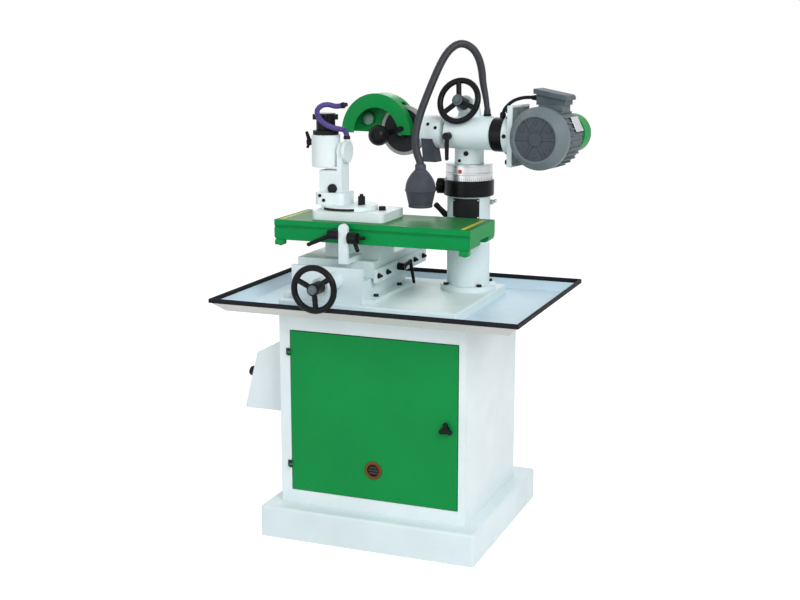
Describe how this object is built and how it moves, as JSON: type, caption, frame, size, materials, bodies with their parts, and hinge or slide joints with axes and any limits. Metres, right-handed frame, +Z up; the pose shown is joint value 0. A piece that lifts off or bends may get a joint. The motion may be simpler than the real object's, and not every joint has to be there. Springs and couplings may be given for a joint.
{
  "type": "circular saw blade sharpener",
  "caption": "Floor-standing sharpener for circular saw blades: cabinet with chip tray, cross slide and table with a work head, and a column grinding head with guard and lamp.",
  "frame": {"origin": "middle of the plinth's underside, on the floor", "axes": "+Z up, +X to the operator's right, +Y to the back; the door and the cross handwheel face -Y"},
  "size_m": [0.8894, 0.6415, 1.3053],
  "materials": {
    "cabinet_white": "satin",
    "casting_white": "satin",
    "tray_white": "satin",
    "green_paint": "gloss",
    "black_plastic": "matte",
    "black_metal": "satin",
    "steel": "brushed",
    "motor_grey": "satin",
    "lamp_grey": "satin",
    "rubber_black": "matte",
    "hose_purple": "satin",
    "abrasive": "rough",
    "start_green": "gloss",
    "stop_red": "gloss"
  },
  "bodies": {
    "base": {"plinth": "cabinet_white", "cabinet_shell": "cabinet_white", "cabinet_front_frame": "cabinet_white", "door_hinges": "steel", "chip_tray": "tray_white", "base_plate": "casting_white", "mounting_bolts": "steel", "slide_base": "casting_white", "column": "casting_white", "clamp_collar": "black_metal", "switch_box": "cabinet_white", "switch_box_cover": "black_plastic"},
    "door": {"door_panel": "green_paint"},
    "latch": {"latch_knob": "black_plastic"},
    "start": {"start_button": "start_green"},
    "stop": {"stop_button": "stop_red"},
    "swivel_clamp": {"swivel_clamp_knob": "black_plastic"},
    "cross_feed": {"feed_screw": "steel", "cross_handwheel": "black_plastic"},
    "saddle": {"saddle": "casting_white", "gib_strip": "casting_white", "stop_bracket": "casting_white"},
    "saddle_lock": {"saddle_lock_lever": "black_metal"},
    "table_lock": {"table_lock_lever": "black_metal"},
    "stop_arm": {"stop_lever": "black_metal"},
    "table": {"table": "green_paint", "fixture_base": "casting_white", "clamp_bolt": "black_metal"},
    "turntable": {"turntable": "casting_white", "work_post": "casting_white"},
    "work_head": {"work_head": "casting_white", "coolant_hose": "hose_purple"},
    "arbor": {"arbor": "black_metal"},
    "arbor_clamp": {"arbor_knob": "black_plastic"},
    "index": {"index_lever": "black_metal"},
    "swivel": {"swivel_sleeve": "casting_white"},
    "lift": {"lift_post": "steel", "head_casting": "casting_white", "gooseneck": "lamp_grey", "lamp_shade": "lamp_grey"},
    "lift_wheel": {"lift_handwheel": "black_plastic"},
    "lift_thread": {"lift_screw": "steel"},
    "tilt_lock": {"tilt_lock_lever": "black_metal"},
    "tilt": {"tilt_quill": "steel", "tilt_ring": "black_metal", "spindle_block": "casting_white", "motor_arm": "casting_white", "motor_body": "motor_grey", "motor_end_cover": "motor_grey", "terminal_box": "motor_grey", "motor_lead": "rubber_black", "belt_guard": "green_paint", "drive_belt": "rubber_black", "dust_chute": "lamp_grey"},
    "rotor": {"motor_rotor": "steel"},
    "spindle": {"spindle": "steel", "grinding_wheel": "abrasive", "wheel_nut": "steel"},
    "guard": {"wheel_guard": "green_paint", "guard_handle": "black_plastic"}
  },
  "joints": [
    {"name": "door_swing", "type": "hinge", "parent": "base", "child": "door", "pos_m": [-0.231, -0.233, 0.342], "axis": [0, 0, -1], "range_deg": [0, 110]},
    {"name": "latch_turn", "type": "hinge", "parent": "door", "child": "latch", "pos_m": [0.2075, -0.23, 0.34], "axis": [0, 1, 0], "range_deg": [0, 90]},
    {"name": "start_press", "type": "slide", "parent": "base", "child": "start", "axis": [0.9694, 0, -0.2454], "range_m": [0, 0.004], "stiffness_N_per_m": 400, "springref_m": -0.004},
    {"name": "stop_press", "type": "slide", "parent": "base", "child": "stop", "axis": [0.9694, 0, -0.2454], "range_m": [0, 0.004], "stiffness_N_per_m": 400, "springref_m": -0.004},
    {"name": "swivel_clamp_turn", "type": "hinge", "parent": "base", "child": "swivel_clamp", "pos_m": [0.083, 0.1, 0.917], "axis": [-1, 0, 0], "range_deg": [-180, 180]},
    {"name": "saddle_feed", "type": "slide", "parent": "base", "child": "saddle", "axis": [0, 1, 0], "range_m": [-0.04, 0.018]},
    {"name": "cross_wheel_turn", "type": "hinge", "parent": "base", "child": "cross_feed", "pos_m": [-0.108, -0.334, 0.698], "axis": [0, 1, 0], "range_deg": [-2890, 1305]},
    {"name": "saddle_lock_turn", "type": "hinge", "parent": "saddle", "child": "saddle_lock", "pos_m": [-0.014, 0, 0.7063], "axis": [1, 0, 0], "range_deg": [0, 40]},
    {"name": "table_lock_turn", "type": "hinge", "parent": "saddle", "child": "table_lock", "pos_m": [-0.096, -0.205, 0.8173], "axis": [1, 0, 0], "range_deg": [-90, 0]},
    {"name": "stop_lever_turn", "type": "hinge", "parent": "saddle", "child": "stop_arm", "pos_m": [-0.07, -0.205, 0.8103], "axis": [1, 0, 0], "range_deg": [-90, 0]},
    {"name": "table_feed", "type": "slide", "parent": "saddle", "child": "table", "axis": [1, 0, 0], "range_m": [-0.11, 0.06]},
    {"name": "turntable_swivel", "type": "hinge", "parent": "table", "child": "turntable", "pos_m": [-0.12, -0.08, 0.874], "axis": [0, 0, 1], "range_deg": [-30, 30]},
    {"name": "work_head_tilt", "type": "hinge", "parent": "turntable", "child": "work_head", "pos_m": [-0.139, -0.08, 1.019], "axis": [1, 0, 0], "range_deg": [-15, 15]},
    {"name": "arbor_spin", "type": "hinge", "parent": "work_head", "child": "arbor", "pos_m": [-0.187, -0.08, 1.066], "axis": [0, 0, 1], "continuous": true},
    {"name": "arbor_knob_turn", "type": "hinge", "parent": "arbor", "child": "arbor_clamp", "pos_m": [-0.187, -0.08, 1.1], "axis": [0, 0, 1], "continuous": true},
    {"name": "index_lever_turn", "type": "hinge", "parent": "work_head", "child": "index", "pos_m": [-0.225, -0.08, 1.04], "axis": [1, 0, 0], "range_deg": [-30, 30]},
    {"name": "head_swivel", "type": "hinge", "parent": "base", "child": "swivel", "pos_m": [0.151, 0.1, 0.93], "axis": [0, 0, 1], "range_deg": [-30, 15]},
    {"name": "head_lift", "type": "slide", "parent": "swivel", "child": "lift", "axis": [0, 0, 1], "range_m": [0, 0.06]},
    {"name": "lift_wheel_turn", "type": "hinge", "parent": "lift", "child": "lift_wheel", "pos_m": [0.1503, 0.09505, 1.13], "axis": [-0.1324, -0.9418, 0.309], "range_deg": [-10, 5410]},
    {"name": "lift_screw_turn", "type": "hinge", "parent": "lift", "child": "lift_thread", "pos_m": [0.151, 0.1, 1.11], "axis": [0, 0, 1], "range_deg": [-10, 5410]},
    {"name": "tilt_lock_turn", "type": "hinge", "parent": "lift", "child": "tilt_lock", "pos_m": [0.11836, 0.02582, 1.058], "axis": [-0.1392, -0.9903, 0], "range_deg": [-40, 40]},
    {"name": "head_tilt", "type": "hinge", "parent": "lift", "child": "tilt", "pos_m": [0.14599, 0.06435, 1.064], "axis": [0.9903, -0.1392, 0], "range_deg": [-15, 25]},
    {"name": "motor_spin", "type": "hinge", "parent": "tilt", "child": "rotor", "pos_m": [0.39659, 0.06549, 1.064], "axis": [0.1392, 0.9903, 0], "continuous": true},
    {"name": "spindle_spin", "type": "hinge", "parent": "tilt", "child": "spindle", "pos_m": [-0.02824, 0.12519, 1.064], "axis": [0.1392, 0.9903, 0], "continuous": true},
    {"name": "guard_swing", "type": "hinge", "parent": "tilt", "child": "guard", "pos_m": [-0.03046, 0.10935, 1.064], "axis": [0.1392, 0.9903, 0], "range_deg": [-20, 40]}
  ],
  "couplings": [
    {"joint": "cross_wheel_turn", "follows": "saddle_feed", "rad_per_m": 1256.6},
    {"joint": "lift_wheel_turn", "follows": "head_lift", "rad_per_m": 1570.8},
    {"joint": "lift_screw_turn", "follows": "head_lift", "rad_per_m": 1570.8},
    {"joint": "spindle_spin", "follows": "motor_spin", "ratio": 1.2632}
  ]
}
